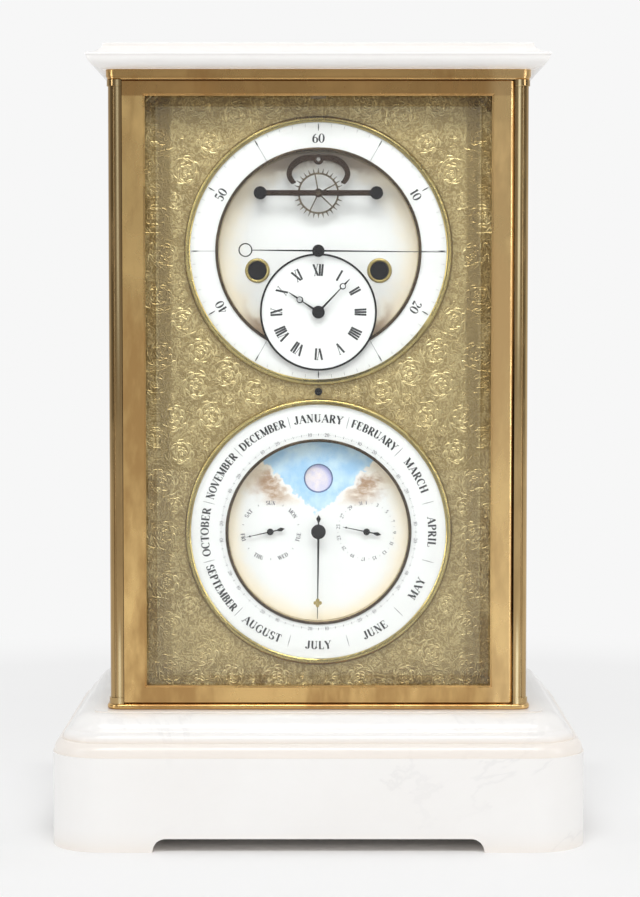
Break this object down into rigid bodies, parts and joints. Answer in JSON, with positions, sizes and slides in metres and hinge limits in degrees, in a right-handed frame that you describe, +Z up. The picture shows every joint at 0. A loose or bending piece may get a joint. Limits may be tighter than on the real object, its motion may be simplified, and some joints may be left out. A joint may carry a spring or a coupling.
{
  "type": "four-glass table clock with calendar",
  "caption": "Glazed brass table clock on a marble plinth, with an open escapement over a calendar dial, opening doors and a swinging pendulum.",
  "frame": {"origin": "centre of the plinth's footprint, on the surface that it stands on", "axes": "+Z up, the dials face -Y, +X to the right seen from the front"},
  "size_m": [0.267, 0.204, 0.4],
  "materials": {
    "marble": "polished white marble",
    "case_brass": "old lacquered brass",
    "mask_brass": "engraved gilt brass",
    "movement_brass": "polished brass",
    "wheel_brass": "polished brass",
    "crystal": "bevelled plate glass",
    "jar_glass": "clear glass",
    "enamel": "white fired enamel",
    "blued_steel": "blued steel",
    "polished_steel": "polished steel",
    "bell_metal": "turned bell metal",
    "mercury": "liquid mercury",
    "moon_paint": "painted disc"
  },
  "bodies": {
    "case": {"marble_base": "marble", "marble_top": "marble", "case_fasteners": "polished_steel", "foot_plate": "case_brass", "top_plate": "case_brass", "corner_posts": "case_brass", "side_glass_left": "crystal", "side_glass_right": "crystal", "front_catch": "polished_steel", "mask_plate": "mask_brass", "dial_mounts": "movement_brass", "dial_bezels": "case_brass", "dial_wells": "case_brass", "seconds_ring": "enamel", "month_ring": "enamel", "time_centre_dial": "enamel", "calendar_centre_dial": "enamel", "hours_dial": "enamel", "hours_ring": "movement_brass", "winding_grommets": "case_brass", "dial_screws": "blued_steel", "escapement_bridge": "polished_steel", "movement_front_plate": "movement_brass", "movement_back_plate": "movement_brass", "pallet_cock": "movement_brass", "bell": "bell_metal", "bell_stand": "movement_brass", "calendar_front_plate": "movement_brass", "calendar_back_plate": "movement_brass"},
    "front_door": {"front_door_frame": "case_brass", "front_glass": "crystal", "front_hinge_pins": "polished_steel"},
    "rear_door": {"rear_door_frame": "case_brass", "rear_glass": "crystal", "rear_hinge_pins": "polished_steel"},
    "rear_latch": {"rear_latch": "case_brass"},
    "minute_hand": {"minute_hand": "blued_steel", "minute_arbor": "polished_steel"},
    "hour_hand": {"hour_hand": "blued_steel"},
    "seconds_hand": {"seconds_hand": "blued_steel", "seconds_arbor": "polished_steel"},
    "third_wheel": {"third_wheel": "wheel_brass"},
    "escape_wheel": {"escape_wheel": "wheel_brass"},
    "anchor": {"anchor": "polished_steel", "crutch": "polished_steel"},
    "pendulum": {"suspension_spring": "polished_steel", "pendulum_rod": "polished_steel", "pendulum_stirrup": "movement_brass", "mercury_jars": "jar_glass", "mercury": "mercury"},
    "rating_nut": {"rating_nut": "movement_brass"},
    "going_barrel": {"going_barrel": "wheel_brass"},
    "strike_barrel": {"strike_barrel": "wheel_brass"},
    "going_winding": {"going_winding_arbor": "polished_steel"},
    "strike_winding": {"strike_winding_arbor": "polished_steel"},
    "hammer": {"hammer": "polished_steel"},
    "weekday_hand": {"weekday_hand": "blued_steel"},
    "date_hand": {"date_hand": "blued_steel"},
    "month_hand": {"month_hand": "blued_steel"},
    "moon_disc": {"moon_disc": "moon_paint"}
  },
  "joints": [
    {"name": "front_door_hinge", "type": "hinge", "parent": "case", "child": "front_door", "pos_m": [0.0948, -0.071, 0.226], "axis": [0, 0, 1], "range_deg": [0, 90]},
    {"name": "rear_door_hinge", "type": "hinge", "parent": "case", "child": "rear_door", "pos_m": [0.0948, 0.071, 0.226], "axis": [0, 0, -1], "range_deg": [0, 90]},
    {"name": "rear_latch_turn", "type": "hinge", "parent": "rear_door", "child": "rear_latch", "pos_m": [-0.092, 0.071, 0.226], "axis": [0, -1, 0], "range_deg": [0, 90]},
    {"name": "minute_hand_turn", "type": "hinge", "parent": "case", "child": "minute_hand", "pos_m": [0, 0, 0.2666], "axis": [0, 1, 0], "continuous": true},
    {"name": "hour_hand_turn", "type": "hinge", "parent": "case", "child": "hour_hand", "pos_m": [0, 0, 0.2666], "axis": [0, 1, 0], "continuous": true},
    {"name": "seconds_hand_turn", "type": "hinge", "parent": "case", "child": "seconds_hand", "pos_m": [0, 0, 0.2973], "axis": [0, 1, 0], "continuous": true},
    {"name": "third_wheel_turn", "type": "hinge", "parent": "case", "child": "third_wheel", "pos_m": [0.002, 0, 0.2826], "axis": [0, 1, 0], "continuous": true},
    {"name": "escape_wheel_turn", "type": "hinge", "parent": "case", "child": "escape_wheel", "pos_m": [0, 0, 0.3266], "axis": [0, 1, 0], "continuous": true},
    {"name": "pendulum_swing", "type": "hinge", "parent": "case", "child": "pendulum", "pos_m": [0, 0, 0.3436], "axis": [0, 1, 0], "range_deg": [-2, 2]},
    {"name": "anchor_rock", "type": "hinge", "parent": "case", "child": "anchor", "pos_m": [0, 0, 0.3436], "axis": [0, 1, 0], "range_deg": [-2, 2]},
    {"name": "rating_nut_turn", "type": "hinge", "parent": "pendulum", "child": "rating_nut", "pos_m": [0, 0.014, 0.1], "axis": [0, 0, 1], "continuous": true},
    {"name": "going_barrel_turn", "type": "hinge", "parent": "case", "child": "going_barrel", "pos_m": [0.031, 0, 0.2877], "axis": [0, 1, 0], "continuous": true},
    {"name": "strike_barrel_turn", "type": "hinge", "parent": "case", "child": "strike_barrel", "pos_m": [-0.031, 0, 0.2877], "axis": [0, 1, 0], "continuous": true},
    {"name": "going_winding_turn", "type": "hinge", "parent": "case", "child": "going_winding", "pos_m": [0.031, 0, 0.2877], "axis": [0, 1, 0], "continuous": true},
    {"name": "strike_winding_turn", "type": "hinge", "parent": "case", "child": "strike_winding", "pos_m": [-0.031, 0, 0.2877], "axis": [0, 1, 0], "continuous": true},
    {"name": "hammer_lift", "type": "hinge", "parent": "case", "child": "hammer", "pos_m": [-0.03, 0, 0.335], "axis": [0, -1, 0], "range_deg": [0, 12], "stiffness_Nm_per_rad": 0.02, "springref_deg": -5.73},
    {"name": "date_hand_turn", "type": "hinge", "parent": "case", "child": "date_hand", "pos_m": [0.0245, 0, 0.155], "axis": [0, 1, 0], "continuous": true},
    {"name": "weekday_hand_turn", "type": "hinge", "parent": "case", "child": "weekday_hand", "pos_m": [-0.0245, 0, 0.155], "axis": [0, 1, 0], "continuous": true},
    {"name": "month_hand_turn", "type": "hinge", "parent": "case", "child": "month_hand", "pos_m": [0, 0, 0.1553], "axis": [0, 1, 0], "continuous": true},
    {"name": "moon_disc_turn", "type": "hinge", "parent": "case", "child": "moon_disc", "pos_m": [0, 0, 0.196], "axis": [0, 1, 0], "continuous": true}
  ],
  "couplings": [
    {"joint": "hour_hand_turn", "follows": "minute_hand_turn", "ratio": 0.083333},
    {"joint": "third_wheel_turn", "follows": "minute_hand_turn", "ratio": -8},
    {"joint": "seconds_hand_turn", "follows": "minute_hand_turn", "ratio": 60},
    {"joint": "escape_wheel_turn", "follows": "minute_hand_turn", "ratio": -120},
    {"joint": "anchor_rock", "follows": "pendulum_swing", "ratio": 1},
    {"joint": "date_hand_turn", "follows": "moon_disc_turn", "ratio": 1.9032},
    {"joint": "weekday_hand_turn", "follows": "moon_disc_turn", "ratio": 8.4286},
    {"joint": "month_hand_turn", "follows": "moon_disc_turn", "ratio": 0.1586}
  ]
}
